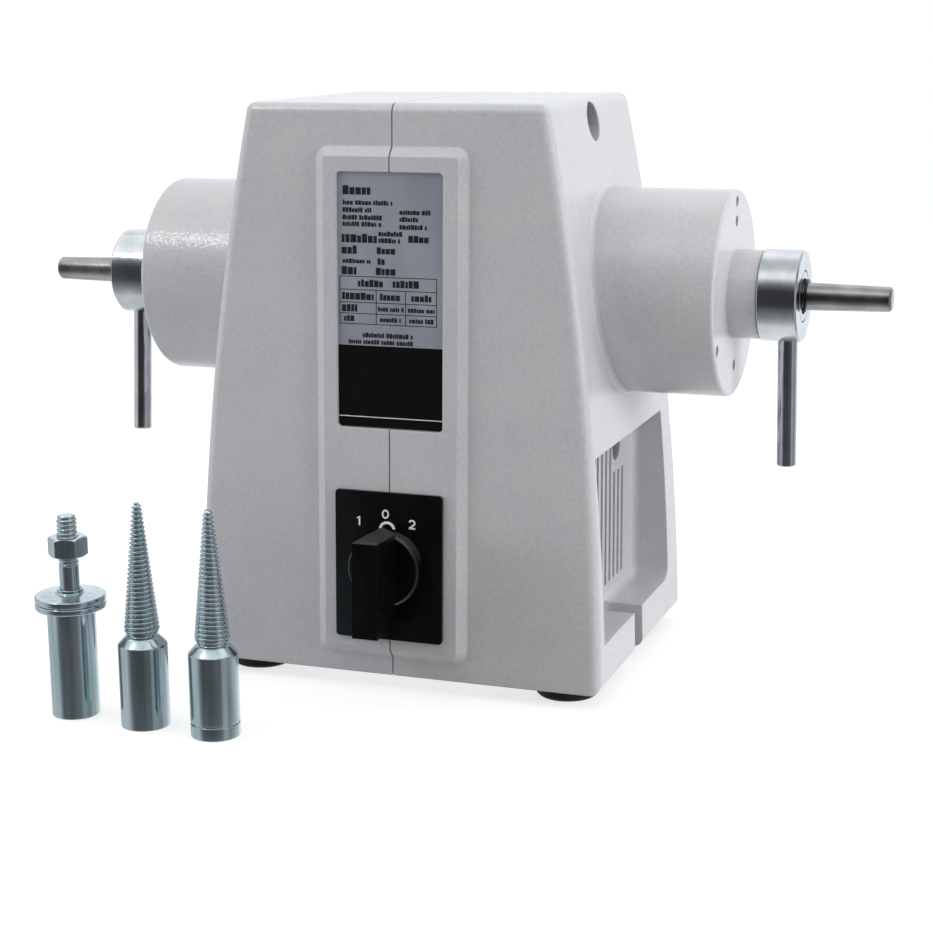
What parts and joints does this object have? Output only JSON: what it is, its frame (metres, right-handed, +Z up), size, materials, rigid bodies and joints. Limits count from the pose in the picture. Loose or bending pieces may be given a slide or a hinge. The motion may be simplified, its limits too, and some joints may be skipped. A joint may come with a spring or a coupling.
{
  "type": "dental polishing lathe",
  "caption": "Double-ended bench polishing lathe: a tall cast casing with a round hub each side, tapered shaft ends with lever ejectors, a cam switch in front, and loose screw-on chucks.",
  "frame": {"origin": "on the bench, under the middle of the shaft", "axes": "+X along the shaft to the right, -Y to the front with the switch, +Z up"},
  "size_m": [0.4226, 0.2565, 0.2683],
  "materials": {
    "casing_paint": "light grey hammered enamel",
    "zinc": "bright zinc plate",
    "chrome": "polished plate",
    "ground_steel": "ground and turned",
    "steel_screw": "blackened screws",
    "black_plastic": "black, smooth",
    "white_mark": "white filled mark",
    "plate_foil": "satin foil with a black lower field",
    "black_rubber": "moulded",
    "lamination": "stacked electrical sheet",
    "copper": "enamelled winding",
    "cage_metal": "die cast",
    "bearing_steel": "ground",
    "grey_plastic": "moulded",
    "pale_plastic": "moulded"
  },
  "bodies": {
    "casing": {"casing_right": "casing_paint", "casing_left": "casing_paint", "casing_screws": "steel_screw", "base_plate": "zinc", "base_plate_screws": "steel_screw", "rubber_feet": "black_rubber", "foot_screws": "steel_screw", "name_plate": "plate_foil", "switch_plate": "black_plastic", "switch_screws": "steel_screw", "switch_housing": "grey_plastic", "stator_core": "lamination", "stator_winding": "copper", "bearing_outer_left": "bearing_steel", "bearing_outer_right": "bearing_steel", "wave_spring": "steel_screw", "run_capacitor": "cage_metal", "capacitor_clip": "zinc", "clip_screws": "steel_screw", "terminal_block": "pale_plastic", "cable_gland": "grey_plastic", "gland_locknut": "grey_plastic"},
    "shaft": {"motor_shaft": "ground_steel", "rotor_core": "lamination", "rotor_cage": "cage_metal", "cooling_fan": "grey_plastic", "bearing_inner_left": "bearing_steel", "bearing_inner_right": "bearing_steel", "bearing_circlips": "steel_screw", "shaft_seals": "black_rubber", "retaining_rings": "steel_screw"},
    "balls_left": {"bearing_balls_left": "bearing_steel", "bearing_cage_left": "bearing_steel"},
    "balls_right": {"bearing_balls_right": "bearing_steel", "bearing_cage_right": "bearing_steel"},
    "switch": {"switch_knob": "black_plastic", "pointer_mark": "white_mark", "switch_spindle": "grey_plastic"},
    "ejector_left": {"ejector_collar_left": "zinc", "ejector_lever_left": "chrome"},
    "ejector_right": {"ejector_collar_right": "zinc", "ejector_lever_right": "chrome"},
    "push_left": {"push_ring_left": "zinc"},
    "push_right": {"push_ring_right": "zinc"},
    "arbor": {"wheel_arbor": "zinc"},
    "arbor_flange": {"arbor_flange_loose": "zinc"},
    "arbor_nut": {"arbor_nut": "zinc"},
    "right_hand_chuck": {"taper_chuck_right_hand": "zinc"},
    "left_hand_chuck": {"taper_chuck_left_hand": "zinc"}
  },
  "joints": [
    {"name": "shaft_spin", "type": "hinge", "parent": "casing", "child": "shaft", "pos_m": [0, 0, 0.1805], "axis": [1, 0, 0], "continuous": true},
    {"name": "balls_left_spin", "type": "hinge", "parent": "casing", "child": "balls_left", "pos_m": [0, 0, 0.1805], "axis": [1, 0, 0], "continuous": true},
    {"name": "balls_right_spin", "type": "hinge", "parent": "casing", "child": "balls_right", "pos_m": [0, 0, 0.1805], "axis": [1, 0, 0], "continuous": true},
    {"name": "switch_turn", "type": "hinge", "parent": "casing", "child": "switch", "pos_m": [0, -0.08189, 0.0606], "axis": [0, -0.9993, 0.0379], "range_deg": [-30, 30]},
    {"name": "ejector_left_turn", "type": "hinge", "parent": "casing", "child": "ejector_left", "pos_m": [0, 0, 0.1805], "axis": [-1, 0, 0], "range_deg": [0, 75]},
    {"name": "ejector_right_turn", "type": "hinge", "parent": "casing", "child": "ejector_right", "pos_m": [0, 0, 0.1805], "axis": [-1, 0, 0], "range_deg": [0, 75]},
    {"name": "push_left_slide", "type": "slide", "parent": "casing", "child": "push_left", "axis": [-1, 0, 0], "range_m": [0, 0.003]},
    {"name": "push_right_slide", "type": "slide", "parent": "casing", "child": "push_right", "axis": [1, 0, 0], "range_m": [0, 0.003]},
    {"name": "arbor_lift", "type": "slide", "parent": "casing", "child": "arbor", "axis": [0, 0, 1], "range_m": [0, 0.12]},
    {"name": "arbor_flange_slide", "type": "slide", "parent": "arbor", "child": "arbor_flange", "axis": [0, 0, 1], "range_m": [0, 0.012]},
    {"name": "arbor_nut_slide", "type": "slide", "parent": "arbor", "child": "arbor_nut", "axis": [0, 0, 1], "range_m": [-0.0148, 0.01]},
    {"name": "right_hand_chuck_lift", "type": "slide", "parent": "casing", "child": "right_hand_chuck", "axis": [0, 0, 1], "range_m": [0, 0.12]},
    {"name": "left_hand_chuck_lift", "type": "slide", "parent": "casing", "child": "left_hand_chuck", "axis": [0, 0, 1], "range_m": [0, 0.12]}
  ],
  "couplings": [
    {"joint": "balls_left_spin", "follows": "shaft_spin", "ratio": 0.3828},
    {"joint": "balls_right_spin", "follows": "shaft_spin", "ratio": 0.3828},
    {"joint": "push_left_slide", "follows": "ejector_left_turn", "m_per_rad": 0.00229},
    {"joint": "push_right_slide", "follows": "ejector_right_turn", "m_per_rad": 0.00229}
  ]
}
